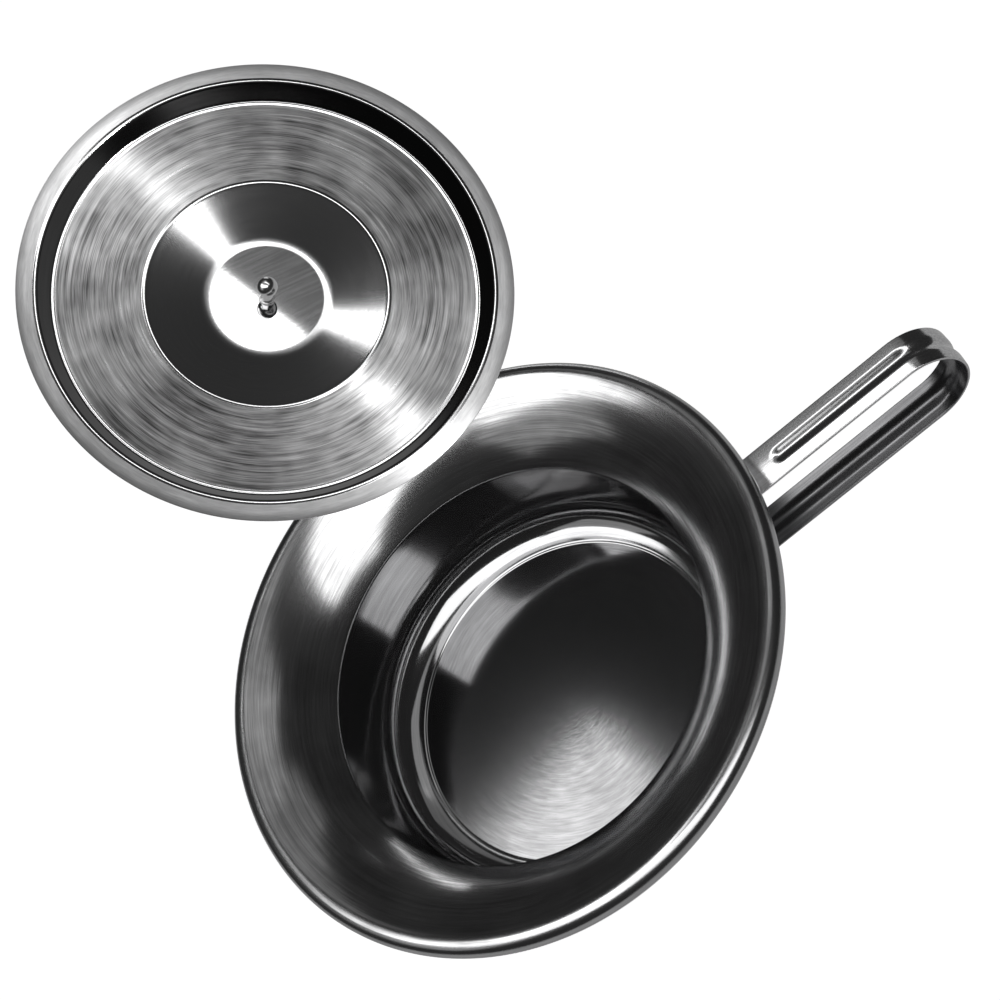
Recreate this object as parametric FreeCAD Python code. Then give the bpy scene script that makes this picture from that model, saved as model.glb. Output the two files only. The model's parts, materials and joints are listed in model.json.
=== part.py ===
import FreeCAD, Part

# Round steel bedpan with a loop handle and a loose dished lid.
# Millimetres, +Z up. The origin is the middle of the flat bottom that the pan
# stands on, and the handle points along +X. The lid is modelled seated on the
# pan and then swung aside about the lid_swing axis to its rest place.

import math
import os

# Pan pressing
PAN_SHEET = 1.0
PAN_HEIGHT = 82.5
RIM_RADIUS = 145.0
RIM_ROLL_RADIUS = 5.5
RIM_ROLL_END_DEG = -120.0
SHOULDER_RADIUS = 14.0
SEAT_TOP_SLOPE_DEG = 18.0
SEAT_FOOT_SLOPE_DEG = 46.0
WALL_RADIUS = 98.0
MOUTH_LIP_RADIUS = 2.5
FLOOR_RADIUS = 81.5
FLOOR_STEP = 0.6
FLOOR_STEP_RUN = 0.8
FLOOR_CORNER_RADIUS = 15.0

# Handle, one strip bent to a hairpin with a tab at each end
STRIP_WIDTH = 21.0
STRIP_SHEET = 1.6
HANDLE_REACH = 250.2
TOP_LEG_Z = 54.6
LOWER_LEG_Z = 6.4
TAB_BEND_RADIUS = 3.0
TOP_TAB_BOTTOM_Z = 34.0
LOWER_TAB_TOP_Z = 30.0
BEAD_RADIUS = 5.0
BEAD_RISE = 3.2
BEAD_START_X = 158.0
BEAD_END_X = 112.0

# Plug welds that hold the tabs on the wall
WELD_RADIUS = 2.6
WELD_CROWN = 0.4
WELD_SIDE_OFFSET = 5.5
UPPER_WELD_Z = 42.0
LOWER_WELD_Z = 23.0

# Lid pressing
LID_SHEET = 0.8
LID_RADIUS = 117.0
LID_STEP_TOP_RADIUS = 107.0
LID_STEP_FOOT_RADIUS = 101.5
LID_STEP_DEPTH = 8.5
LID_STEP_BEND = 1.6
LID_DISH_RADIUS = 57.3
LID_DISH_DEPTH = 6.5
LID_DISH_EDGE_BEND = 1.2
LID_CENTRE_RADIUS = 29.5
LID_CENTRE_BEND = 22.0
SEAT_GAP = 0.3

# Knob and what holds it
BALL_RADIUS = 4.9
BALL_HEIGHT = 13.0
NECK_RADIUS = 2.9
COLLAR_RADIUS = 4.0
COLLAR_HEIGHT = 1.2
SCREW_RADIUS = 1.6
TAPPING_CLEARANCE = 0.05
SCREW_REACH = 7.0
SCREW_HEAD_RADIUS = 3.9
SCREW_HEAD_HEIGHT = 2.4
SCREW_HOLE_CLEARANCE = 0.6
WASHER_RADIUS = 4.5
WASHER_SHEET = 0.8
DRIVE_SLOT_WIDTH = 1.0
DRIVE_SLOT_DEPTH = 1.1

# Where the lid waits: it swings about this axis, down onto the pan
SWING_LEAN_DEG = 31.02
SWING_HEADING_DEG = -98.78
SWING_POINT = (155.26, 66.77, 128.59)
SWING_TO_SEAT_DEG = 69.89

Z_AXIS = FreeCAD.Vector(0, 0, 1)
ORIGIN = FreeCAD.Vector(0, 0, 0)


def at(radius, height):
    """Point of a section in the XZ plane."""
    return FreeCAD.Vector(radius, 0, height)


def polar(centre, radius, degrees):
    """Point on a circle in the XZ plane, its angle counted from +X towards +Z."""
    turn = math.radians(degrees)
    return centre + at(radius * math.cos(turn), radius * math.sin(turn))


def line(start, end):
    return Part.LineSegment(start, end).toShape()


def arc(centre, radius, start_deg, end_deg):
    """Edge from one angle of a circle to another, either way round."""
    middle_deg = (start_deg + end_deg) / 2
    start = polar(centre, radius, start_deg)
    middle = polar(centre, radius, middle_deg)
    end = polar(centre, radius, end_deg)
    return Part.Arc(start, middle, end).toShape()


def meeting_point(first, second):
    """Where two lines of the XZ plane cross, each given as (point, direction)."""
    gap = second[0] - first[0]
    cross = first[1].x * second[1].z - first[1].z * second[1].x
    along = (gap.x * second[1].z - gap.z * second[1].x) / cross
    return first[0] + first[1] * along


def beside(corners, offset):
    """A polyline moved sideways to the right of its direction, with mitred corners."""
    runs = []
    for start, end in zip(corners, corners[1:]):
        direction = (end - start).normalize()
        right = at(direction.z, -direction.x)
        runs.append((start + right * offset, direction))
    last = corners[-1] - corners[-2]
    last_right = at(last.z, -last.x).normalize()
    moved = [runs[0][0]]
    for first, second in zip(runs, runs[1:]):
        moved.append(meeting_point(first, second))
    moved.append(corners[-1] + last_right * offset)
    return moved


def bent(corners, radii):
    """Edges along a polyline, with a round bend of the given radius at each corner."""
    edges = []
    here = corners[0]
    for before, corner, after, radius in zip(corners, corners[1:], corners[2:], radii):
        inward = (before - corner).normalize()
        outward = (after - corner).normalize()
        half_angle = inward.getAngle(outward) / 2
        if radius == 0:
            edges.append(line(here, corner))
            here = corner
            continue
        setback = radius / math.tan(half_angle)
        bend_start = corner + inward * setback
        bend_end = corner + outward * setback
        bisector = (inward + outward).normalize()
        centre = corner + bisector * (radius / math.sin(half_angle))
        edges.append(line(here, bend_start))
        edges.append(Part.Arc(bend_start, centre - bisector * radius, bend_end).toShape())
        here = bend_end
    edges.append(line(here, corners[-1]))
    return edges


def sheet_bends(corners, radii, thickness):
    """Bend radii of the other face of a sheet, on the right of the polyline."""
    other = []
    for before, corner, after, radius in zip(corners, corners[1:], corners[2:], radii):
        first = corner - before
        second = after - corner
        turns_left = first.x * second.z - first.z * second.x > 0
        change = thickness if turns_left else -thickness
        other.append(radius + change if radius else 0)
    return other


def face_of(edges):
    wire = Part.Wire(Part.__sortEdges__(edges))
    return Part.Face(wire)


def turned(edges):
    """Solid turned about the Z axis from the closed section that the edges bound."""
    return face_of(edges).revolve(ORIGIN, Z_AXIS, 360)


def cylinder(radius, height, base, direction=Z_AXIS):
    return Part.makeCylinder(radius, height, base, direction)


def one_solid(shape):
    """The single solid that a boolean operation left, with its faces merged."""
    merged = shape.removeSplitter()
    assert len(merged.Solids) == 1
    return merged.Solids[0]


# Pan pressing: flat floor, round corner, upright wall, curved seat and rolled rim

def rim_curves():
    """Arcs (centre, radius, start, end) of the upper face outwards from the top of the wall.

    They are the mouth's lip, the seat that the lid lies on, the shoulder and the rolled rim.
    """
    roll = at(RIM_RADIUS - RIM_ROLL_RADIUS, PAN_HEIGHT - RIM_ROLL_RADIUS)
    shoulder = roll + at(0, RIM_ROLL_RADIUS - SHOULDER_RADIUS)
    top_deg = 90 + SEAT_TOP_SLOPE_DEG
    foot_deg = 90 + SEAT_FOOT_SLOPE_DEG
    seat_top = polar(shoulder, SHOULDER_RADIUS, top_deg)
    lip_reach = polar(ORIGIN, MOUTH_LIP_RADIUS, foot_deg)
    foot_x = WALL_RADIUS + MOUTH_LIP_RADIUS + lip_reach.x
    top_side = polar(ORIGIN, 1, top_deg)
    foot_side = polar(ORIGIN, 1, foot_deg)
    seat_radius = (seat_top.x - foot_x) / (top_side.x - foot_side.x)
    seat = seat_top - top_side * seat_radius
    lip = polar(seat, seat_radius, foot_deg) - lip_reach
    return [
        (lip, MOUTH_LIP_RADIUS, 180, foot_deg),
        (seat, seat_radius, foot_deg, top_deg),
        (shoulder, SHOULDER_RADIUS, top_deg, 90),
        (roll, RIM_ROLL_RADIUS, 90, RIM_ROLL_END_DEG),
    ]


def pan_section():
    curves = rim_curves()
    wall_top = at(WALL_RADIUS, curves[0][0].z)
    ledge_z = PAN_SHEET + FLOOR_STEP
    upper = [
        at(0, PAN_SHEET),
        at(FLOOR_RADIUS, PAN_SHEET),
        at(FLOOR_RADIUS + FLOOR_STEP_RUN, ledge_z),
        at(WALL_RADIUS, ledge_z),
        wall_top,
    ]
    radii = [0, 0, FLOOR_CORNER_RADIUS]
    lower = beside(upper, PAN_SHEET)
    edges = bent(upper, radii)
    edges.extend(bent(lower, sheet_bends(upper, radii, PAN_SHEET)))
    for centre, radius, start_deg, end_deg in curves:
        edges.append(arc(centre, radius, start_deg, end_deg))
        edges.append(arc(centre, radius - PAN_SHEET, start_deg, end_deg))
    roll, roll_radius, _, end_deg = curves[-1]
    outer_end = polar(roll, roll_radius, end_deg)
    inner_end = polar(roll, roll_radius - PAN_SHEET, end_deg)
    edges.append(line(outer_end, inner_end))
    edges.append(line(lower[0], upper[0]))
    return edges


def seat_height_at(radius):
    """Height of the curved seat's upper face at a distance from the pan's axis."""
    centre, seat_radius, _, _ = rim_curves()[1]
    return centre.z + math.sqrt(seat_radius ** 2 - (centre.x - radius) ** 2)


# Handle: hairpin strip with a pressed bead and two welded tabs

def wall_outside():
    return WALL_RADIUS + PAN_SHEET


def bend_centre():
    half_height = (TOP_LEG_Z - LOWER_LEG_Z) / 2
    return at(HANDLE_REACH - half_height, TOP_LEG_Z - half_height)


def strip_section():
    """Closed section of the bare strip in the XZ plane."""
    tab_face_x = wall_outside() - STRIP_SHEET
    outer_radius = (TOP_LEG_Z - LOWER_LEG_Z) / 2
    inner_radius = outer_radius - STRIP_SHEET
    middle = bend_centre()
    outer = [
        at(tab_face_x, TOP_TAB_BOTTOM_Z),
        at(tab_face_x, TOP_LEG_Z),
        at(middle.x, TOP_LEG_Z),
    ]
    lower_outer = [
        at(middle.x, LOWER_LEG_Z),
        at(tab_face_x, LOWER_LEG_Z),
        at(tab_face_x, LOWER_TAB_TOP_Z),
    ]
    outer_bend = TAB_BEND_RADIUS + 2 * STRIP_SHEET
    inner_x = wall_outside() + STRIP_SHEET
    inner = [
        at(inner_x, TOP_TAB_BOTTOM_Z),
        at(inner_x, TOP_LEG_Z - STRIP_SHEET),
        at(middle.x, TOP_LEG_Z - STRIP_SHEET),
    ]
    lower_inner = [
        at(middle.x, LOWER_LEG_Z + STRIP_SHEET),
        at(inner_x, LOWER_LEG_Z + STRIP_SHEET),
        at(inner_x, LOWER_TAB_TOP_Z),
    ]
    edges = bent(outer, [outer_bend])
    edges.append(arc(middle, outer_radius, 90, -90))
    edges.extend(bent(lower_outer, [outer_bend]))
    edges.append(line(lower_outer[-1], lower_inner[-1]))
    edges.extend(bent(lower_inner, [TAB_BEND_RADIUS]))
    edges.append(arc(middle, inner_radius, -90, 90))
    edges.extend(bent(inner, [TAB_BEND_RADIUS]))
    edges.append(line(inner[0], outer[0]))
    return edges


def bead_core(radius):
    """Round bar along the middle of the strip, from one leg round the bend to the other."""
    middle = bend_centre()
    track = (TOP_LEG_Z - LOWER_LEG_Z) / 2 + BEAD_RISE
    along_x = FreeCAD.Vector(1, 0, 0)
    top_start = at(BEAD_START_X, middle.z + track)
    lower_start = at(BEAD_END_X, middle.z - track)
    top_bar = cylinder(radius, middle.x - BEAD_START_X, top_start, along_x)
    lower_bar = cylinder(radius, middle.x - BEAD_END_X, lower_start, along_x)
    ring = Part.makeTorus(track, radius, middle, FreeCAD.Vector(0, 1, 0))
    beyond = Part.makeBox(track + radius, 2 * track, 4 * track)
    beyond.translate(middle - FreeCAD.Vector(0, track, 2 * track))
    half_ring = ring.common(beyond)
    top_end = Part.makeSphere(radius, top_start)
    lower_end = Part.makeSphere(radius, lower_start)
    return top_bar.fuse([lower_bar, half_ring, top_end, lower_end])


def weld_places():
    """Centres of the welds on the wall, as (sideways, height), upper pair then lower pair."""
    sides = (-WELD_SIDE_OFFSET, WELD_SIDE_OFFSET)
    upper = [(side, UPPER_WELD_Z) for side in sides]
    lower = [(side, LOWER_WELD_Z) for side in sides]
    return upper, lower


def handle_strip():
    strip = face_of(strip_section()).extrude(FreeCAD.Vector(0, STRIP_WIDTH, 0))
    strip.translate(FreeCAD.Vector(0, -STRIP_WIDTH / 2, 0))
    ribbed = strip.fuse(bead_rib())
    grooved = ribbed.cut(bead_core(BEAD_RADIUS))
    bowl_space = cylinder(wall_outside(), PAN_HEIGHT, ORIGIN)
    fitted = grooved.cut(bowl_space)
    upper, lower = weld_places()
    for side, height in upper + lower:
        fitted = fitted.cut(weld_hole(side, height))
    return one_solid(fitted)


def bead_rib():
    """What the bead pushes out on the inner side of the hairpin."""
    middle = bend_centre()
    core = bead_core(BEAD_RADIUS + STRIP_SHEET)
    outer_radius = (TOP_LEG_Z - LOWER_LEG_Z) / 2
    reach = BEAD_RADIUS + STRIP_SHEET
    box_length = middle.x - BEAD_END_X + reach
    inside = Part.makeBox(box_length, 2 * reach, 2 * outer_radius)
    inside.translate(FreeCAD.Vector(BEAD_END_X - reach, -reach, LOWER_LEG_Z))
    bend = cylinder(outer_radius, 2 * reach, middle - FreeCAD.Vector(0, reach, 0),
                    FreeCAD.Vector(0, 1, 0))
    return core.common(inside.fuse(bend))


def weld_hole(side, height):
    start = FreeCAD.Vector(wall_outside() - STRIP_SHEET, side, height)
    return cylinder(WELD_RADIUS, 3 * STRIP_SHEET, start, FreeCAD.Vector(1, 0, 0))


def weld(side, height):
    """Plug weld: fills a hole of the tab from the wall to a low crown."""
    bowl_space = cylinder(wall_outside(), PAN_HEIGHT, ORIGIN)
    plug = weld_hole(side, height).cut(bowl_space)
    crown_radius = (WELD_RADIUS ** 2 + WELD_CROWN ** 2) / (2 * WELD_CROWN)
    crown_x = wall_outside() + STRIP_SHEET + WELD_CROWN
    crown_centre = FreeCAD.Vector(crown_x - crown_radius, side, height)
    return one_solid(plug.common(Part.makeSphere(crown_radius, crown_centre)))


def welds(places):
    return Part.makeCompound([weld(side, height) for side, height in places])


# Lid pressing and knob, in the lid's own frame: flange top face at z = 0

def dish_floor_z():
    return -(LID_STEP_DEPTH + LID_DISH_DEPTH)


def under_dish_z():
    return dish_floor_z() - LID_SHEET


def lid_shell():
    """Flat centre, sloped dish, flat plate, step and flange, with a hole for the screw."""
    hole_radius = SCREW_RADIUS + SCREW_HOLE_CLEARANCE
    plate_z = -LID_STEP_DEPTH
    upper = [
        at(hole_radius, dish_floor_z()),
        at(LID_CENTRE_RADIUS, dish_floor_z()),
        at(LID_DISH_RADIUS, plate_z),
        at(LID_STEP_FOOT_RADIUS, plate_z),
        at(LID_STEP_TOP_RADIUS, 0),
        at(LID_RADIUS, 0),
    ]
    radii = [LID_CENTRE_BEND, LID_DISH_EDGE_BEND, LID_STEP_BEND, LID_STEP_BEND]
    lower = beside(upper, LID_SHEET)
    edges = bent(upper, radii)
    edges.append(line(upper[-1], lower[-1]))
    edges.extend(bent(lower, sheet_bends(upper, radii, LID_SHEET)))
    edges.append(line(lower[0], upper[0]))
    return one_solid(turned(edges))


def lid_knob():
    """Turned knob: collar, neck and ball, tapped from below for the screw."""
    foot_z = dish_floor_z()
    ball_centre = at(0, foot_z + BALL_HEIGHT)
    neck_deg = -math.degrees(math.acos(NECK_RADIUS / BALL_RADIUS))
    collar_top = foot_z + COLLAR_HEIGHT
    neck_top = polar(ball_centre, BALL_RADIUS, neck_deg)
    edges = [
        line(at(0, foot_z), at(COLLAR_RADIUS, foot_z)),
        line(at(COLLAR_RADIUS, foot_z), at(COLLAR_RADIUS, collar_top)),
        line(at(COLLAR_RADIUS, collar_top), at(NECK_RADIUS, collar_top)),
        line(at(NECK_RADIUS, collar_top), neck_top),
        arc(ball_centre, BALL_RADIUS, neck_deg, 90),
        line(polar(ball_centre, BALL_RADIUS, 90), at(0, foot_z)),
    ]
    tapping = cylinder(SCREW_RADIUS + TAPPING_CLEARANCE, SCREW_REACH, at(0, foot_z))
    return one_solid(turned(edges).cut(tapping))


def washer_bottom_z():
    return under_dish_z() - WASHER_SHEET


def knob_washer():
    foot = at(0, washer_bottom_z())
    disc = cylinder(WASHER_RADIUS, WASHER_SHEET, foot)
    hole = cylinder(SCREW_RADIUS + SCREW_HOLE_CLEARANCE, WASHER_SHEET, foot)
    return one_solid(disc.cut(hole))


def knob_screw():
    head_top = washer_bottom_z()
    head_bottom = head_top - SCREW_HEAD_HEIGHT
    length = dish_floor_z() + SCREW_REACH - SCREW_RADIUS - head_top
    shank = cylinder(SCREW_RADIUS, length, at(0, head_top))
    head = cylinder(SCREW_HEAD_RADIUS, SCREW_HEAD_HEIGHT, at(0, head_bottom))
    bottom_edges = [edge for edge in head.Edges if edge.CenterOfMass.z < head_bottom + 0.01
                    and len(edge.Vertexes) == 1]
    rounded = head.makeFillet(SCREW_HEAD_HEIGHT / 2, bottom_edges)
    slot = Part.makeBox(2 * SCREW_HEAD_RADIUS, DRIVE_SLOT_WIDTH, DRIVE_SLOT_DEPTH)
    slot.translate(FreeCAD.Vector(-SCREW_HEAD_RADIUS, -DRIVE_SLOT_WIDTH / 2, head_bottom))
    return one_solid(shank.fuse(rounded).cut(slot))


def seated_height():
    """Height of the lid's flange top face when the lid lies on the seat."""
    flange_rests = seat_height_at(LID_RADIUS) + LID_SHEET
    foot_rests = seat_height_at(LID_STEP_FOOT_RADIUS) + LID_STEP_DEPTH + LID_SHEET
    return max(flange_rests, foot_rests) + SEAT_GAP


def swing_axis():
    lean = math.radians(SWING_LEAN_DEG)
    heading = math.radians(SWING_HEADING_DEG)
    level = math.sin(lean)
    return FreeCAD.Vector(level * math.cos(heading), level * math.sin(heading), math.cos(lean))


def at_rest(shape):
    """A lid piece moved from its own frame to the seat, then swung aside."""
    placed = shape.copy()
    placed.translate(FreeCAD.Vector(0, 0, seated_height()))
    placed.rotate(FreeCAD.Vector(*SWING_POINT), swing_axis(), -SWING_TO_SEAT_DEG)
    return placed


def main():
    os.makedirs("parts", exist_ok=True)
    upper_places, lower_places = weld_places()
    nodes = {
        "pan_shell": one_solid(turned(pan_section())),
        "handle_strip": handle_strip(),
        "upper_handle_welds": welds(upper_places),
        "lower_handle_welds": welds(lower_places),
        "lid_shell": at_rest(lid_shell()),
        "lid_knob": at_rest(lid_knob()),
        "knob_washer": at_rest(knob_washer()),
        "knob_screw": at_rest(knob_screw()),
    }
    for name, shape in nodes.items():
        assert shape.isValid(), name
        shape.exportStep(f"parts/{name}.step")
        box = shape.BoundBox
        print(name, "volume", round(shape.Volume, 1), "low", round(box.XMin, 2),
              round(box.YMin, 2), round(box.ZMin, 2), "high", round(box.XMax, 2),
              round(box.YMax, 2), round(box.ZMax, 2))
    axis = swing_axis()
    print("swing axis", round(axis.x, 6), round(axis.y, 6), round(axis.z, 6))
    print("seated height", round(seated_height(), 3))


main()
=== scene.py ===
import json
import math

import bpy
from mathutils import Matrix, Vector


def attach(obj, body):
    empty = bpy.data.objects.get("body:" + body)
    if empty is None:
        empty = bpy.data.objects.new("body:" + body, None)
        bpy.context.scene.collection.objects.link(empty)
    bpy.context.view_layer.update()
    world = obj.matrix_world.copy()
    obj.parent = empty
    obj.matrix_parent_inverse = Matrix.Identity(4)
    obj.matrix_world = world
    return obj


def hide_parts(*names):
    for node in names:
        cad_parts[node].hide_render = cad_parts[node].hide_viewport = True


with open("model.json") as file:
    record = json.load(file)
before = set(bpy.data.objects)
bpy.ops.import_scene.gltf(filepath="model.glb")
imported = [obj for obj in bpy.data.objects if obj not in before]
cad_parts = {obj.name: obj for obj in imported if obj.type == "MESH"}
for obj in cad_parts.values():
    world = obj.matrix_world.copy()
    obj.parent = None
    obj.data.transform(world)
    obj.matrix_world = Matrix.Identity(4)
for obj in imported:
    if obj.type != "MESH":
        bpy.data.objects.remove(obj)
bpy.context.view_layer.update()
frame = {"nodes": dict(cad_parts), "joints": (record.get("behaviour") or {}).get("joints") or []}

MM = 0.001

# Camera, at the photograph's viewing angle

CAMERA_PLACE = Vector((0.2472, -0.6249, 1.0284))
CAMERA_LOOK = Vector((-0.1740, 0.5778, -0.7974))
CAMERA_UP = Vector((0.6258, 0.6901, 0.3636))
CAMERA_LENS_MM = 90.0


def add_camera():
    """Camera turned so that -Z looks along CAMERA_LOOK and +Y is CAMERA_UP."""
    data = bpy.data.cameras.new("camera")
    data.lens = CAMERA_LENS_MM
    data.sensor_width = 36.0
    data.clip_start = 0.01
    camera = bpy.data.objects.new("camera", data)
    bpy.context.scene.collection.objects.link(camera)
    back = -CAMERA_LOOK.normalized()
    right = CAMERA_UP.cross(back).normalized()
    up = back.cross(right)
    turn = Matrix((right, up, back)).transposed().to_4x4()
    camera.matrix_world = Matrix.Translation(CAMERA_PLACE) @ turn
    bpy.context.scene.camera = camera


add_camera()

# Sections and sweeps

AROUND = 512


def arc(centre, radius, start_deg, end_deg, steps):
    """Points on a circle from one angle to another, both ends included."""
    points = []
    for step in range(steps + 1):
        turn = math.radians(start_deg + (end_deg - start_deg) * step / steps)
        across = centre[0] + radius * math.cos(turn)
        points.append((across, centre[1] + radius * math.sin(turn)))
    return points


def offset_corners(corners, offset):
    """A polyline moved sideways to its right, with mitred corners."""
    runs = []
    for start, end in zip(corners, corners[1:]):
        along = Vector(end) - Vector(start)
        along.normalize()
        right = Vector((along.y, -along.x))
        runs.append((Vector(start) + right * offset, along))
    moved = [tuple(runs[0][0])]
    for first, second in zip(runs, runs[1:]):
        gap = second[0] - first[0]
        cross = first[1].x * second[1].y - first[1].y * second[1].x
        reach = (gap.x * second[1].y - gap.y * second[1].x) / cross
        moved.append(tuple(first[0] + first[1] * reach))
    last_right = Vector((runs[-1][1].y, -runs[-1][1].x))
    moved.append(tuple(Vector(corners[-1]) + last_right * offset))
    return moved


def bent(corners, radii, steps=10):
    """Points along a polyline with its corners rounded."""
    points = [tuple(corners[0])]
    for before, corner, after, radius in zip(corners, corners[1:], corners[2:], radii):
        middle = Vector(corner)
        inward = (Vector(before) - middle).normalized()
        outward = (Vector(after) - middle).normalized()
        if radius == 0:
            points.append(tuple(middle))
            continue
        half = inward.angle(outward) / 2
        bisector = (inward + outward).normalized()
        centre = middle + bisector * (radius / math.sin(half))
        start = middle + inward * (radius / math.tan(half))
        end = middle + outward * (radius / math.tan(half))
        start_deg = math.degrees(math.atan2(*(start - centre).yx))
        end_deg = math.degrees(math.atan2(*(end - centre).yx))
        sweep = (end_deg - start_deg + 180) % 360 - 180
        points.extend(arc(centre, radius, start_deg, start_deg + sweep, steps))
    points.append(tuple(corners[-1]))
    return points


def other_radii(corners, radii, thickness):
    """Bend radii on the right-hand face of a sheet."""
    other = []
    for before, corner, after, radius in zip(corners, corners[1:], corners[2:], radii):
        first = Vector(corner) - Vector(before)
        second = Vector(after) - Vector(corner)
        turns_left = first.cross(second) > 0
        change = thickness if turns_left else -thickness
        other.append(radius + change if radius else 0)
    return other


def refined(points, longest):
    """The same line with extra points, so that no run is longer than the given length."""
    fine = [points[0]]
    for start, end in zip(points, points[1:]):
        run = math.dist(start, end)
        if run < 1e-6:
            continue
        parts = max(1, math.ceil(run / longest))
        for part in range(1, parts + 1):
            share = part / parts
            fine.append(tuple(a + (b - a) * share for a, b in zip(start, end)))
    return fine


def new_object(name, vertices, faces, sharp_deg=40.0):
    mesh = bpy.data.meshes.new(name)
    mesh.from_pydata(vertices, [], faces)
    mesh.validate()
    mesh.polygons.foreach_set("use_smooth", [True] * len(mesh.polygons))
    mesh.set_sharp_from_angle(angle=math.radians(sharp_deg))
    mesh.update()
    piece = bpy.data.objects.new(name, mesh)
    bpy.context.scene.collection.objects.link(piece)
    return piece


def turned(name, section, around=AROUND, sharp_deg=40.0):
    """Closed solid of revolution. The section is a closed loop of (radius, height) in mm,
    counter-clockwise, and may touch the axis only at its first and last points."""
    vertices = []
    rings = []
    for radius, height in section:
        if radius < 1e-6:
            rings.append([len(vertices)])
            vertices.append((0.0, 0.0, height * MM))
            continue
        ring = []
        for step in range(around):
            turn = 2 * math.pi * step / around
            ring.append(len(vertices))
            vertices.append((radius * MM * math.cos(turn), radius * MM * math.sin(turn),
                             height * MM))
        rings.append(ring)
    faces = []
    pairs = list(zip(rings, rings[1:] + rings[:1]))
    for low, high in pairs:
        if len(low) == 1 and len(high) == 1:
            continue
        for step in range(around):
            after = (step + 1) % around
            if len(low) == 1:
                faces.append((low[0], high[after], high[step]))
            elif len(high) == 1:
                faces.append((low[step], low[after], high[0]))
            else:
                faces.append((low[step], low[after], high[after], high[step]))
    return new_object(name, vertices, faces, sharp_deg)


# Pan

PAN_SHEET = 1.0
PAN_HEIGHT = 82.5
RIM_RADIUS = 145.0
RIM_ROLL_RADIUS = 5.5
RIM_ROLL_END_DEG = -120.0
SEAT_TOP_SLOPE_DEG = 18.0
SEAT_FOOT_SLOPE_DEG = 46.0
SHOULDER_RADIUS = 14.0
WALL_RADIUS = 98.0
MOUTH_LIP_RADIUS = 2.5
FLOOR_RADIUS = 81.5
FLOOR_STEP = 0.6
FLOOR_STEP_RUN = 0.8
FLOOR_STEP_BEND = 1.2
FLOOR_CORNER_RADIUS = 15.0

# Fineness of the pan's section
CORNER_STEPS = 20
BEND_STEPS = 8
BEND_STEP_DEG = 4
SEAT_STEPS = 32
LONGEST_RUN = 6.0


def pan_section():
    """Section of the pressing: inside face outwards, round the rolled rim, back underneath."""
    ledge = PAN_SHEET + FLOOR_STEP
    curves = rim_curves()
    wall_top = (WALL_RADIUS, curves[0][0][1])
    upper = [
        (0.0, PAN_SHEET),
        (FLOOR_RADIUS, PAN_SHEET),
        (FLOOR_RADIUS + FLOOR_STEP_RUN, ledge),
        (WALL_RADIUS, ledge),
        wall_top,
    ]
    radii = [FLOOR_STEP_BEND, 0.0, FLOOR_CORNER_RADIUS]
    lower = offset_corners(upper, PAN_SHEET)
    lower_radii = other_radii(upper, radii, PAN_SHEET)
    inside = refined(bent(upper, radii, CORNER_STEPS), LONGEST_RUN)
    outside = refined(bent(lower, lower_radii, CORNER_STEPS), LONGEST_RUN)
    for centre, radius, start_deg, end_deg in curves:
        steps = max(BEND_STEPS, round(abs(end_deg - start_deg) / BEND_STEP_DEG))
        if radius > SHOULDER_RADIUS:
            steps = SEAT_STEPS
        inside += arc(centre, radius, start_deg, end_deg, steps)[1:]
        outside += arc(centre, radius - PAN_SHEET, start_deg, end_deg, steps)[1:]
    return inside + outside[::-1]


def rim_curves():
    """Arcs (centre, radius, start angle, end angle) of the upper face from the wall's top
    outwards: lip, sloped seat, shoulder and rolled rim."""
    roll = (RIM_RADIUS - RIM_ROLL_RADIUS, PAN_HEIGHT - RIM_ROLL_RADIUS)
    shoulder = (roll[0], PAN_HEIGHT - SHOULDER_RADIUS)
    top_deg = 90 + SEAT_TOP_SLOPE_DEG
    foot_deg = 90 + SEAT_FOOT_SLOPE_DEG
    seat_top = arc(shoulder, SHOULDER_RADIUS, top_deg, top_deg, 1)[0]
    foot_sine = math.sin(math.radians(SEAT_FOOT_SLOPE_DEG))
    foot_cosine = math.cos(math.radians(SEAT_FOOT_SLOPE_DEG))
    top_sine = math.sin(math.radians(SEAT_TOP_SLOPE_DEG))
    top_cosine = math.cos(math.radians(SEAT_TOP_SLOPE_DEG))
    foot_across = WALL_RADIUS + MOUTH_LIP_RADIUS * (1 - foot_sine)
    seat_radius = (seat_top[0] - foot_across) / (foot_sine - top_sine)
    seat = (seat_top[0] + seat_radius * top_sine, seat_top[1] - seat_radius * top_cosine)
    foot_height = seat[1] + seat_radius * foot_cosine
    lip = (WALL_RADIUS + MOUTH_LIP_RADIUS, foot_height - MOUTH_LIP_RADIUS * foot_cosine)
    return [
        (lip, MOUTH_LIP_RADIUS, 180, foot_deg),
        (seat, seat_radius, foot_deg, top_deg),
        (shoulder, SHOULDER_RADIUS, top_deg, 90),
        (roll, RIM_ROLL_RADIUS, 90, RIM_ROLL_END_DEG),
    ]


def pan_body():
    piece = turned("pan_body", pan_section()[::-1])
    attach(piece, "pan")
    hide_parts("pan_shell")
    return piece


# Lid and knob, modelled in the lid's own frame with its flange top face at z = 0

LID_SHEET = 0.8
LID_RADIUS = 117.0
LID_STEP_TOP_RADIUS = 107.0
LID_STEP_FOOT_RADIUS = 101.5
LID_STEP_DEPTH = 8.5
LID_STEP_BEND = 1.6
LID_DISH_RADIUS = 57.3
LID_DISH_DEPTH = 6.5
LID_SEATED_HEIGHT = 74.652
LID_HOLE_RADIUS = 2.2
LID_DISH_EDGE_BEND = 1.2
LID_CENTRE_RADIUS = 29.5
LID_CENTRE_BEND = 22.0
BEAD_RINGS = (57.9, 100.4, 108.2)
BEAD_RING_HEIGHT = 0.12
BEAD_RING_WIDTH = 0.8

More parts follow.
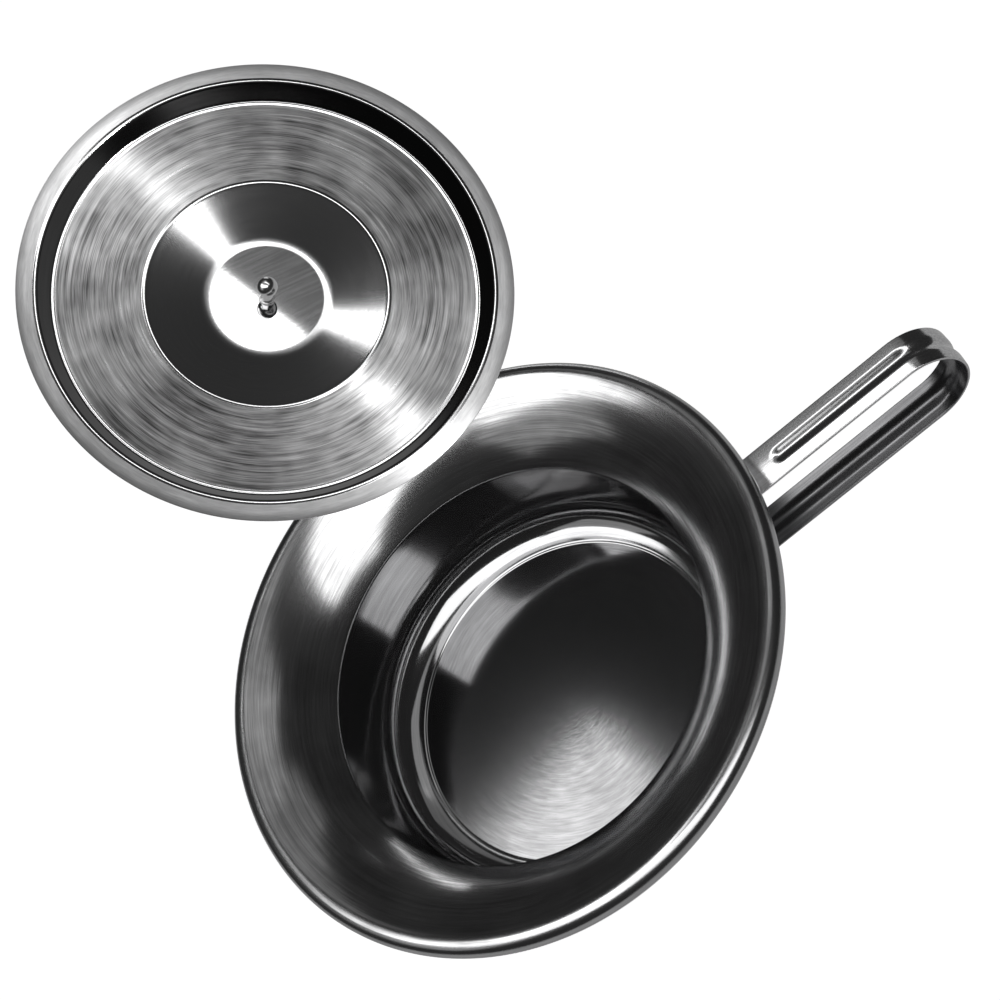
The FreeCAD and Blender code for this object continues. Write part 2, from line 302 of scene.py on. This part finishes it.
BALL_RADIUS = 4.9
BALL_HEIGHT = 13.0
NECK_RADIUS = 2.9
COLLAR_RADIUS = 4.0
COLLAR_HEIGHT = 1.2


def lid_place():
    """From the lid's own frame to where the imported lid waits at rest."""
    joint = frame["joints"][0]
    pivot = Vector(joint["pos_m"])
    axis = Vector(joint["axis"])
    back = -math.radians(joint["range_deg"][1])
    swing = Matrix.Rotation(back, 4, axis)
    lift = Matrix.Translation((0, 0, LID_SEATED_HEIGHT * MM))
    return Matrix.Translation(pivot) @ swing @ Matrix.Translation(-pivot) @ lift


def dish_floor():
    return -(LID_STEP_DEPTH + LID_DISH_DEPTH)


def lid_section():
    plate = -LID_STEP_DEPTH
    upper = [
        (LID_HOLE_RADIUS, dish_floor()),
        (LID_CENTRE_RADIUS, dish_floor()),
        (LID_DISH_RADIUS, plate),
        (LID_STEP_FOOT_RADIUS, plate),
        (LID_STEP_TOP_RADIUS, 0.0),
        (LID_RADIUS, 0.0),
    ]
    radii = [LID_CENTRE_BEND, LID_DISH_EDGE_BEND, LID_STEP_BEND, LID_STEP_BEND]
    lower = offset_corners(upper, LID_SHEET)
    lower_radii = other_radii(upper, radii, LID_SHEET)
    half = LID_SHEET / 2
    edge = arc((LID_RADIUS - half, -half), half, 60, -60, 6)
    upper_line = with_beads(refined(bent(upper, radii, 14), 5.0)[:-1])
    lower_line = refined(bent(lower, lower_radii, 14), 5.0)[:-1]
    return upper_line + edge + lower_line[::-1]


def with_beads(line):
    """The same line with fine round beads pressed up at BEAD_RINGS."""
    beaded = []
    for start, end in zip(line, line[1:]):
        beaded.append(start)
        near = [ring for ring in BEAD_RINGS
                if start[0] < ring + 2 * BEAD_RING_WIDTH and end[0] > ring - 2 * BEAD_RING_WIDTH]
        if near:
            beaded += refined([start, end], 0.15)[1:-1]
    beaded.append(line[-1])
    return [(radius, height + bead_at(radius)) for radius, height in beaded]


def bead_at(radius):
    rises = [math.exp(-((radius - ring) / BEAD_RING_WIDTH) ** 2) for ring in BEAD_RINGS]
    return BEAD_RING_HEIGHT * sum(rises)


def lid_body():
    piece = turned("lid_body", lid_section()[::-1], sharp_deg=60.0)
    piece.matrix_world = lid_place()
    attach(piece, "lid")
    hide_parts("lid_shell")
    return piece


def knob_body():
    floor = dish_floor()
    ball = (0.0, floor + BALL_HEIGHT)
    low_deg = -math.degrees(math.acos((NECK_RADIUS + 0.2) / BALL_RADIUS))
    neck_top = arc(ball, BALL_RADIUS, low_deg, low_deg, 1)[0]
    collar = floor + COLLAR_HEIGHT
    corners = [
        (0.0, floor),
        (COLLAR_RADIUS, floor),
        (COLLAR_RADIUS, collar),
        (NECK_RADIUS, collar),
        (NECK_RADIUS, neck_top[1] - 0.4),
        neck_top,
    ]
    side = bent(corners, [0.2, 0.4, 0.6, 0.3], 6)
    sphere = arc(ball, BALL_RADIUS, low_deg, 90, 36)[1:-1]
    section = side + sphere + [(0.0, ball[1] + BALL_RADIUS)]
    piece = turned("knob_body", section, around=96)
    piece.matrix_world = lid_place()
    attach(piece, "lid")
    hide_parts("lid_knob")
    return piece


# Handle strip

STRIP_WIDTH = 21.0
STRIP_SHEET = 1.6
HANDLE_REACH = 250.2
TOP_LEG_Z = 54.6
LOWER_LEG_Z = 6.4
TAB_BEND_RADIUS = 3.0
TOP_TAB_BOTTOM_Z = 34.0
LOWER_TAB_TOP_Z = 30.0
BEAD_RADIUS = 5.0
BEAD_PRESS = 1.0
BEAD_START_X = 158.0
BEAD_END_X = 112.0
STRIP_EDGE_ROUND = 0.45
STRIP_EDGE_STEPS = 5
STRIP_FACE_STEPS = 56
STRIP_LONGEST_RUN = 0.9
LOOP_STEPS = 72
TAB_BEND_STEPS = 12
STRIP_CROWN = 0.35
TAB_CLEARANCE = 0.02


def strip_path():
    """Middle line of the strip in the XZ plane, from its top tab round to its lower tab."""
    half = STRIP_SHEET / 2
    middle_z = (TOP_LEG_Z + LOWER_LEG_Z) / 2
    outer = (TOP_LEG_Z - LOWER_LEG_Z) / 2
    bend_x = HANDLE_REACH - outer
    tab_x = WALL_RADIUS + PAN_SHEET + half
    bend = TAB_BEND_RADIUS + half
    top_z = TOP_LEG_Z - half
    low_z = LOWER_LEG_Z + half
    line = [(tab_x, TOP_TAB_BOTTOM_Z), (tab_x, top_z - bend)]
    line += arc((tab_x + bend, top_z - bend), bend, 180, 90, TAB_BEND_STEPS)[1:]
    line += [(bend_x, top_z)]
    line += arc((bend_x, middle_z), outer - half, 90, -90, LOOP_STEPS)[1:]
    line += [(tab_x + bend, low_z)]
    line += arc((tab_x + bend, low_z + bend), bend, 270, 180, TAB_BEND_STEPS)[1:]
    line += [(tab_x, LOWER_TAB_TOP_Z)]
    return refined(line, STRIP_LONGEST_RUN)


def bead_depth(side, along, start, end, half_width):
    """How far the pressed bead pushes the sheet in at this point, with soft shoulders."""
    beyond = max(start - along, along - end, 0.0)
    away = math.hypot(side, beyond) / half_width
    if away >= 1:
        return 0.0
    return BEAD_PRESS * math.cos(away * math.pi / 2) ** 2


def strip_edge(side, level, start_deg):
    """Points round one edge of the strip's section, in two quarter turns."""
    points = []
    for sign, start in ((level, start_deg), (-level, start_deg - 90)):
        centre = (side, sign * (STRIP_SHEET / 2 - STRIP_EDGE_ROUND))
        points += arc(centre, STRIP_EDGE_ROUND, start, start - 90, STRIP_EDGE_STEPS)[1:]
    return points


def strip_ring():
    """Points of the strip's own section, as (sideways, outward), round its four corners."""
    half = STRIP_SHEET / 2
    flat = STRIP_WIDTH / 2 - STRIP_EDGE_ROUND
    places = [2 * flat * step / STRIP_FACE_STEPS - flat for step in range(STRIP_FACE_STEPS + 1)]
    ring = [(place, half) for place in places]
    ring += strip_edge(flat, 1, 90)
    ring += [(-place, -half) for place in places[1:]]
    ring += strip_edge(-flat, -1, 270)
    return ring[:-1]


def length_at(path, lengths, across, on_top):
    """Length along the strip at a given x of its top leg or of its lower leg."""
    middle = (TOP_LEG_Z + LOWER_LEG_Z) / 2
    leg = [index for index, place in enumerate(path) if (place[1] > middle) == on_top]
    return min((abs(path[index][0] - across), lengths[index]) for index in leg)[1]


def handle_band():
    path = strip_path()
    lengths = [0.0]
    for start, end in zip(path, path[1:]):
        lengths.append(lengths[-1] + math.dist(start, end))
    bead_start = length_at(path, lengths, BEAD_START_X, True)
    bead_end = length_at(path, lengths, BEAD_END_X, False)
    ring = strip_ring()
    wall = WALL_RADIUS + PAN_SHEET + TAB_CLEARANCE
    vertices = []
    for index, place in enumerate(path):
        before = path[max(index - 1, 0)]
        after = path[min(index + 1, len(path) - 1)]
        along = Vector((after[0] - before[0], after[1] - before[1])).normalized()
        outward = Vector((-along.y, along.x))
        for side, level in ring:
            reach = BEAD_RADIUS if level > 0 else BEAD_RADIUS + STRIP_SHEET / 2
            depth = bead_depth(side, lengths[index], bead_start, bead_end, reach)
            crown = STRIP_CROWN * (2 * side / STRIP_WIDTH) ** 2
            move = outward * (level - depth - crown)
            across = place[0] + move.x
            height = place[1] + move.y
            faces_wall = max(0.0, -outward.x)
            if level > 0 and faces_wall > 0:
                fit = math.sqrt(wall ** 2 - side ** 2) - wall
                across += fit * faces_wall ** 4
            vertices.append((across * MM, side * MM, height * MM))
    size = len(ring)
    faces = []
    for row in range(len(path) - 1):
        for step in range(size):
            after = (step + 1) % size
            here = row * size
            faces.append((here + step, here + size + step, here + size + after,
                          here + after))
    last = (len(path) - 1) * size
    faces.append(tuple(range(size)))
    faces.append(tuple(last + step for step in reversed(range(size))))
    piece = new_object("handle_band", vertices, faces, 45.0)
    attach(piece, "pan")
    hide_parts("handle_strip")
    return piece


pan = pan_body()
lid = lid_body()
knob = knob_body()
handle = handle_band()

# Materials

MARKS_SHARE = 0.6
SHADE_SPREAD = (0.38, 0.62)
ROUGHNESS_SPREAD = (0.3, 0.7)


class Steel:
    """A metal material under construction, with short calls for the nodes it needs."""

    def __init__(self, name, roughness, colour, anisotropic=0.0):
        self.material = bpy.data.materials.new(name)
        self.material.use_nodes = True
        self.tree = self.material.node_tree
        self.tree.nodes.clear()
        output = self.tree.nodes.new("ShaderNodeOutputMaterial")
        self.shader = self.tree.nodes.new("ShaderNodeBsdfPrincipled")
        self.tree.links.new(self.shader.outputs["BSDF"], output.inputs["Surface"])
        self.shader.inputs["Metallic"].default_value = 1.0
        self.shader.inputs["Anisotropic"].default_value = anisotropic
        self.shader.inputs["Anisotropic Rotation"].default_value = 0.25
        self.roughness = roughness
        self.colour = colour
        coordinates = self.tree.nodes.new("ShaderNodeTexCoord")
        self.place = coordinates.outputs["Object"]
        if anisotropic:
            tangent = self.tree.nodes.new("ShaderNodeTangent")
            tangent.direction_type = "RADIAL"
            tangent.axis = "Z"
            self.tree.links.new(tangent.outputs["Tangent"], self.shader.inputs["Tangent"])

    def feed(self, socket, value):
        if isinstance(value, bpy.types.NodeSocket):
            self.tree.links.new(value, socket)
        else:
            socket.default_value = value

    def math(self, operation, first, second=0.0):
        node = self.tree.nodes.new("ShaderNodeMath")
        node.operation = operation
        self.feed(node.inputs[0], first)
        self.feed(node.inputs[1], second)
        return node.outputs[0]

    def vector(self, operation, first, second=(0, 0, 0), output="Vector"):
        node = self.tree.nodes.new("ShaderNodeVectorMath")
        node.operation = operation
        self.feed(node.inputs[0], first)
        self.feed(node.inputs[1], second)
        return node.outputs[output]

    def combine(self, x, y, z):
        node = self.tree.nodes.new("ShaderNodeCombineXYZ")
        for socket, value in zip(node.inputs, (x, y, z)):
            self.feed(socket, value)
        return node.outputs["Vector"]

    def split(self, vector):
        node = self.tree.nodes.new("ShaderNodeSeparateXYZ")
        self.feed(node.inputs[0], vector)
        return node.outputs["X"], node.outputs["Y"], node.outputs["Z"]

    def noise(self, vector, scale=1.0):
        node = self.tree.nodes.new("ShaderNodeTexNoise")
        self.feed(node.inputs["Vector"], vector)
        node.inputs["Scale"].default_value = scale
        node.inputs["Detail"].default_value = 3.0
        node.inputs["Roughness"].default_value = 0.6
        return node.outputs["Fac"]

    def blend(self, first, second, share):
        """The two values added, the first with this share of the whole."""
        return self.math("ADD", self.math("MULTIPLY", first, share),
                         self.math("MULTIPLY", second, 1.0 - share))

    def spread(self, value, low, high, to_low, to_high):
        node = self.tree.nodes.new("ShaderNodeMapRange")
        self.feed(node.inputs["Value"], value)
        for socket, number in zip(("From Min", "From Max", "To Min", "To Max"),
                                  (low, high, to_low, to_high)):
            node.inputs[socket].default_value = number
        return node.outputs["Result"]

    def rings(self, around, across):
        """Coordinates for marks that run round the Z axis: slow one way, fast the other."""
        x, y, z = self.split(self.place)
        flat = self.combine(x, y, 0.0)
        radius = self.vector("LENGTH", flat, output="Value")
        unit = self.vector("NORMALIZE", flat)
        slow = self.vector("MULTIPLY", unit, (around, around, 0.0))
        depth = self.math("ADD", radius, z)
        fast = self.combine(0.0, 0.0, self.math("MULTIPLY", depth, across))
        return self.vector("ADD", slow, fast)

    def straight(self, direction_deg, along, across):
        """Coordinates for straight marks that run in one direction of the XY plane."""
        x, y, z = self.split(self.place)
        turn = math.radians(direction_deg)
        forward = self.math("ADD", self.math("MULTIPLY", x, math.cos(turn)),
                            self.math("MULTIPLY", y, math.sin(turn)))
        sideways = self.math("SUBTRACT", self.math("MULTIPLY", y, math.cos(turn)),
                             self.math("MULTIPLY", x, math.sin(turn)))
        return self.combine(self.math("MULTIPLY", forward, along),
                            self.math("MULTIPLY", sideways, across),
                            self.math("MULTIPLY", z, across))

    def finish(self, marks, patches, colour_swing, roughness_swing, bump, bump_height):
        """marks and patches, both about 0 to 1, vary the colour, roughness and surface."""
        both = self.blend(marks, patches, MARKS_SHARE)
        shade = self.spread(both, *SHADE_SPREAD, 1.0 - colour_swing, 1.0)
        tint = self.tree.nodes.new("ShaderNodeMix")
        tint.data_type = "RGBA"
        self.feed(tint.inputs["Factor"], shade)
        tint.inputs["A"].default_value = (0, 0, 0, 1)
        tint.inputs["B"].default_value = (*self.colour, 1)
        self.tree.links.new(tint.outputs["Result"], self.shader.inputs["Base Color"])
        rough = self.spread(both, *ROUGHNESS_SPREAD, self.roughness + roughness_swing,
                            self.roughness - roughness_swing)
        self.tree.links.new(rough, self.shader.inputs["Roughness"])
        if bump:
            node = self.tree.nodes.new("ShaderNodeBump")
            node.inputs["Strength"].default_value = bump
            node.inputs["Distance"].default_value = bump_height
            self.tree.links.new(marks, node.inputs["Height"])
            self.tree.links.new(node.outputs["Normal"], self.shader.inputs["Normal"])
        return self.material


# Base colours. STEEL is the steel's own colour. The darker ones are painted dark reflection and
# shade, for zones that face dark surroundings; the lighter one is painted light on the lid's
# flange.
STEEL = (0.74, 0.74, 0.745)
FLANGE_PAINTED_LIGHT = (0.95, 0.95, 0.955)
BOWL_PAINTED_DARK = (0.52, 0.52, 0.525)
FLOOR_PAINTED_DARK = (0.38, 0.38, 0.385)
INNER_PAINTED_SHADE = (0.22, 0.22, 0.225)
SHADED_STEEL = (0.08, 0.08, 0.08)

# Sizes of the noise that varies the steel from place to place, in its own units
RING_PATCHES = 22.0
STRAIGHT_PATCHES = 30.0
BROAD_SHARE = 0.55


def ring_steel(name, roughness, anisotropic, around, across, colour_swing=0.25,
               roughness_swing=0.04, bump=0.4, colour=STEEL, fine=None):
    """Steel with brush marks that run round its axis, and finer ones among them."""
    steel = Steel(name, roughness, colour, anisotropic)
    marks = steel.noise(steel.rings(around, across))
    if fine:
        marks = steel.blend(marks, steel.noise(steel.rings(*fine)), BROAD_SHARE)
    patches = steel.noise(steel.place, RING_PATCHES)
    return steel.finish(marks, patches, colour_swing, roughness_swing, bump, 0.00004)


def straight_steel(name, roughness, direction_deg, along, across, colour_swing=0.2,
                   roughness_swing=0.04, bump=0.4, colour=STEEL):
    """Steel with straight brush marks."""
    steel = Steel(name, roughness, colour)
    marks = steel.noise(steel.straight(direction_deg, along, across))
    patches = steel.noise(steel.place, STRAIGHT_PATCHES)
    return steel.finish(marks, patches, colour_swing, roughness_swing, bump, 0.00003)


seat_steel = ring_steel(
    "seat_steel", roughness=0.16, anisotropic=0.3, around=1.6, across=500.0, colour_swing=0.6,
    bump=0.6, fine=(5.0, 1500.0))
# Bowl wall: colour darkened below the steel's own, a painted dark reflection of the surroundings.
bowl_steel = ring_steel(
    "bowl_steel", roughness=0.1, anisotropic=0.0, around=2.0, across=420.0, colour_swing=0.3,
    roughness_swing=0.03, bump=0.08, colour=BOWL_PAINTED_DARK, fine=(4.0, 1500.0))
# Pan floor: colour darkened further, a painted dark reflection of the surroundings.
floor_steel = ring_steel(
    "pan_floor_steel", roughness=0.09, anisotropic=0.0, around=3.0, across=500.0,
    colour_swing=0.4, roughness_swing=0.02, bump=0.16, colour=FLOOR_PAINTED_DARK, fine=(6.0, 1500.0))
# Rolled rim: the bowl's darkened colour, a painted dark reflection of the surroundings.
rim_steel = ring_steel(
    "rim_steel", roughness=0.24, anisotropic=0.0, around=3.0, across=500.0, colour=BOWL_PAINTED_DARK)
outside_steel = ring_steel(
    "outside_steel", roughness=0.30, anisotropic=0.5, around=3.0, across=500.0)
# Lid flange: a lighter copy of the lid's steel, painted light so that the flange shows brighter
# than the plate.
flange_steel = ring_steel(
    "lid_flange_steel", roughness=0.40, anisotropic=0.9, around=9.0, across=700.0,
    colour_swing=0.3, colour=FLANGE_PAINTED_LIGHT, fine=(16.0, 2200.0))
plate_steel = ring_steel(
    "lid_plate_steel", roughness=0.31, anisotropic=1.0, around=1.5, across=520.0,
    colour_swing=0.85, roughness_swing=0.07, bump=0.5, fine=(5.0, 2400.0))
dish_steel = ring_steel(
    "lid_dish_steel", roughness=0.14, anisotropic=0.4, around=3.0, across=500.0,
    colour_swing=0.15, roughness_swing=0.02, bump=0.1)
centre_steel = straight_steel(
    "lid_centre_steel", roughness=0.035, direction_deg=60.0, along=25.0, across=600.0,
    colour_swing=0.35, roughness_swing=0.01, bump=0.05)
# Lid step wall: near-black colour, painted shade for the dark band that the step shows.
step_steel = ring_steel(
    "lid_step_steel", roughness=0.2, anisotropic=0.0, around=3.0, across=500.0,
    colour_swing=0.2, roughness_swing=0.03, bump=0.1, colour=SHADED_STEEL)
bead_steel = ring_steel(
    "lid_bead_steel", roughness=0.12, anisotropic=0.0, around=3.0, across=500.0,
    colour_swing=0.1, roughness_swing=0.02, bump=0.0)
under_steel = ring_steel(
    "lid_under_steel", roughness=0.32, anisotropic=0.6, around=4.0, across=500.0)
knob_polish = ring_steel(
    "knob_polish", roughness=0.2, anisotropic=0.0, around=3.0, across=900.0,
    colour_swing=0.1, roughness_swing=0.02, bump=0.1)
# Inside of the handle's loop: colour darkened, painted shade.
handle_inner = straight_steel(
    "handle_inner", roughness=0.22, direction_deg=0.0, along=12.0, across=900.0,
    colour_swing=0.4, colour=INNER_PAINTED_SHADE)
handle_brushed = straight_steel(
    "handle_brushed", roughness=0.15, direction_deg=0.0, along=12.0, across=900.0,
    colour_swing=0.3)
weld_steel = straight_steel(
    "weld_dressed", roughness=0.35, direction_deg=90.0, along=60.0, across=700.0)
fixing_steel = straight_steel(
    "fixing_plain", roughness=0.3, direction_deg=30.0, along=60.0, across=900.0)

PAN_STEELS = [seat_steel, bowl_steel, floor_steel, outside_steel, rim_steel]
LID_STEELS = [flange_steel, plate_steel, dish_steel, under_steel, centre_steel, step_steel,
              bead_steel]
HANDLE_STEELS = [handle_brushed, handle_inner]

# Where one finish ends and the next begins, in millimetres and as parts of a face's normal
OUTER_WALL_LIMIT = 136.0
SEAT_START = 99.0
SEAT_LOWEST = 58.0
FLOOR_EDGE = 81.0
CENTRE_EDGE = 27.0
BEAD_REACH = 1.4 * BEAD_RING_WIDTH
FLOOR_NORMAL = 0.9
OUTWARD_NORMAL = 0.5
DOWNWARD_NORMAL = -0.2
STEP_WALL_NORMAL = 0.85


def pan_zone(centre, normal):
    """The finish of a face of the pan. The bowl, floor and rim finishes also carry a painted dark
    reflection in their colour.
    """
    radius = math.hypot(centre.x, centre.y)
    outward = (centre.x * normal.x + centre.y * normal.y) / max(radius, 1.0)
    if normal.z < DOWNWARD_NORMAL or (outward > OUTWARD_NORMAL and radius < OUTER_WALL_LIMIT):
        return outside_steel
    if radius > RIM_RADIUS - RIM_ROLL_RADIUS + 1.0:
        return rim_steel
    if radius > SEAT_START and centre.z > SEAT_LOWEST:
        return seat_steel
    if radius < FLOOR_EDGE and normal.z > FLOOR_NORMAL:
        return floor_steel
    return bowl_steel


def handle_zone(centre, normal):
    """The finish of a face of the handle, outside or inside its loop. Inside the loop the colour
    is darkened with painted shade.
    """
    half = (TOP_LEG_Z - LOWER_LEG_Z) / 2
    out_x = max(centre.x - (HANDLE_REACH - half), 0.0)
    out_z = centre.z - (TOP_LEG_Z - half)
    return handle_inner if normal.x * out_x + normal.z * out_z < 0 else handle_brushed


def lid_zone(centre, normal):
    """The finish of a face of the lid, in the lid's own frame. The flange's colour carries painted
    light and the step wall's colour painted shade.
    """
    radius = math.hypot(centre.x, centre.y)
    if normal.z < 0:
        return under_steel
    if any(abs(radius - ring) < BEAD_REACH for ring in BEAD_RINGS):
        return bead_steel
    if radius < CENTRE_EDGE:
        return centre_steel
    if radius < LID_DISH_RADIUS:
        return dish_steel
    if radius > LID_STEP_TOP_RADIUS + 0.5:
        return flange_steel
    if radius > LID_STEP_FOOT_RADIUS - 0.5:
        return step_steel if normal.z < STEP_WALL_NORMAL else flange_steel
    return plate_steel


def paint(piece, materials, choose=None):
    """Gives a piece its materials, and each face the one that choose(centre, normal) returns."""
    piece.data.materials.clear()
    for material in materials:
        piece.data.materials.append(material)
    if choose:
        places = {material.name: place for place, material in enumerate(materials)}
        for face in piece.data.polygons:
            face.material_index = places[choose(face.center / MM, face.normal).name]


welds = [frame["nodes"]["upper_handle_welds"], frame["nodes"]["lower_handle_welds"]]
fixings = [frame["nodes"]["knob_washer"], frame["nodes"]["knob_screw"]]
paint(pan, PAN_STEELS, pan_zone)
paint(lid, LID_STEELS, lid_zone)
paint(knob, [knob_polish])
paint(handle, HANDLE_STEELS, handle_zone)
for weld in welds:
    paint(weld, [weld_steel])
for fixing in fixings:
    paint(fixing, [fixing_steel])

# Floor, surroundings and lights

FLOOR_REACH = 0.8
FLOOR_SIDES = 96
SURROUNDINGS = 0.028
GLOW_RADIANCE = 0.3


def add_floor():
    """Round pale floor. Its own glow keeps it even, and the steel doesn't mirror it."""
    corners = arc((0.0, 0.0), FLOOR_REACH, 0, 360, FLOOR_SIDES)[:-1]
    floor = new_object("floor", [(x, y, 0.0) for x, y in corners], [range(FLOOR_SIDES)])
    material = bpy.data.materials.new("pale_floor")
    material.use_nodes = True
    shader = material.node_tree.nodes["Principled BSDF"]
    shader.inputs["Base Color"].default_value = (0.95, 0.95, 0.95, 1)
    shader.inputs["Roughness"].default_value = 0.9
    shader.inputs["Specular IOR Level"].default_value = 0.1
    shader.inputs["Emission Color"].default_value = (1, 1, 1, 1)
    shader.inputs["Emission Strength"].default_value = 1.0
    paint(floor, [material])
    floor.visible_glossy = False


def add_world():
    """Dark studio round the object, with a pale backdrop where the camera looks past the floor."""
    world = bpy.data.worlds.new("surroundings")
    world.use_nodes = True
    tree = world.node_tree
    background = tree.nodes["Background"]
    background.inputs["Color"].default_value = (SURROUNDINGS, SURROUNDINGS, SURROUNDINGS, 1)
    pale = tree.nodes.new("ShaderNodeBackground")
    pale.inputs["Color"].default_value = (1, 1, 1, 1)
    path = tree.nodes.new("ShaderNodeLightPath")
    mix = tree.nodes.new("ShaderNodeMixShader")
    tree.links.new(path.outputs["Is Camera Ray"], mix.inputs[0])
    tree.links.new(background.outputs[0], mix.inputs[1])
    tree.links.new(pale.outputs[0], mix.inputs[2])
    tree.links.new(mix.outputs[0], tree.nodes["World Output"].inputs["Surface"])
    bpy.context.scene.world = world


def add_softbox(name, place, aim, along, width, length, radiance, shines_on):
    """Flat light at a place, facing the aim, its length lying along a direction, with the
    same brightness all over. It lights the given pieces only."""
    back = (Vector(place) - Vector(aim)).normalized()
    across = Vector(along).cross(back).normalized()
    lengthwise = back.cross(across)
    data = bpy.data.lights.new(name, "AREA")
    data.shape = "RECTANGLE"
    data.size = width
    data.size_y = length
    data.energy = radiance * math.pi * width * length
    light = bpy.data.objects.new(name, data)
    bpy.context.scene.collection.objects.link(light)
    turn = Matrix((across, lengthwise, back)).transposed().to_4x4()
    light.matrix_world = Matrix.Translation(Vector(place)) @ turn
    light.visible_camera = False
    group = bpy.data.collections.new(name + "_pieces")
    for piece in shines_on:
        group.objects.link(piece)
    light.light_linking.receiver_collection = group


def add_floor_glow():
    """Dim round light just above the floor, facing up, in place of the floor's own light."""
    data = bpy.data.lights.new("floor_glow", "AREA")
    data.shape = "DISK"
    data.size = 2 * FLOOR_REACH
    data.energy = GLOW_RADIANCE * math.pi * data.size ** 2
    light = bpy.data.objects.new("floor_glow", data)
    bpy.context.scene.collection.objects.link(light)
    light.matrix_world = Matrix.Translation((0, 0, 0.0005)) @ Matrix.Rotation(math.pi, 4, "X")
    light.visible_camera = False


LID_MIDDLE = Vector((0.016, 0.178, 0.167))
PAN_MIDDLE = Vector((0.0, 0.0, 0.1))
KEY_PLACE = LID_MIDDLE + Vector((0.5534, -0.0232, 0.8326)) * 2.2
ARM_PLACE = LID_MIDDLE + Vector((0.690, -0.548, 0.472)) * 2.2
FILL_PLACE = LID_MIDDLE + Vector((0.5534, -0.0232, 0.8326)) * 2.4
KEY_ALONG = (0.413, -0.860, -0.298)
LENGTHWISE = (1.0, 0.0, 0.0)
CROSSWISE = (0.0, 1.0, 0.0)

lid_pieces = [lid, knob] + fixings
pan_pieces = [pan, handle] + welds + [knob]

# Each softbox: name, place, aim, direction of its length, width, length, radiance, pieces
SOFTBOXES = [
    ("key_softbox", KEY_PLACE, LID_MIDDLE, KEY_ALONG, 0.29, 2.13, 3.0, lid_pieces + [handle]),
    ("arm_softbox", ARM_PLACE, LID_MIDDLE, KEY_ALONG, 0.14, 0.5, 50.0, [lid]),
    ("lid_fill", FILL_PLACE, LID_MIDDLE, KEY_ALONG, 0.9, 1.1, 0.18, lid_pieces),
    ("left_ceiling", (-1.02, 0.435, 2.2), (-1.02, 0.435, 0.0), (-0.17, 0.98, 0.0), 1.3, 1.49,
     2.4, pan_pieces),
    ("front_ceiling", (0.05, -0.85, 2.2), (0.05, -0.85, 0.0), (0.74, -0.67, 0.0), 1.2, 2.3,
     2.4, pan_pieces),
    ("left_card", (-2.0, -0.15, 1.95), PAN_MIDDLE, CROSSWISE, 1.15, 1.5, 0.4, pan_pieces),
    ("back_card", (0.43, 0.745, 2.23), PAN_MIDDLE, LENGTHWISE, 0.9, 1.23, 0.38, pan_pieces),
    ("far_card", (0.593, 1.334, 1.878), PAN_MIDDLE, LENGTHWISE, 0.65, 1.67, 0.18, pan_pieces),
    ("low_card", (0.6, 1.7, 0.16), PAN_MIDDLE, LENGTHWISE, 0.3, 0.8, 1.7, pan_pieces),
    ("handle_panel", (0.1, 1.12, 2.2), (0.1, 1.12, 0.0), LENGTHWISE, 0.5, 1.3, 2.4, [handle]),
]

bpy.context.scene.view_settings.view_transform = "Standard"
add_floor()
add_world()
for softbox in SOFTBOXES:
    add_softbox(*softbox)
add_floor_glow()

# The pan neither mirrors the lid nor lies in its shade
for piece in [lid] + fixings:
    piece.visible_glossy = False
    piece.visible_shadow = False
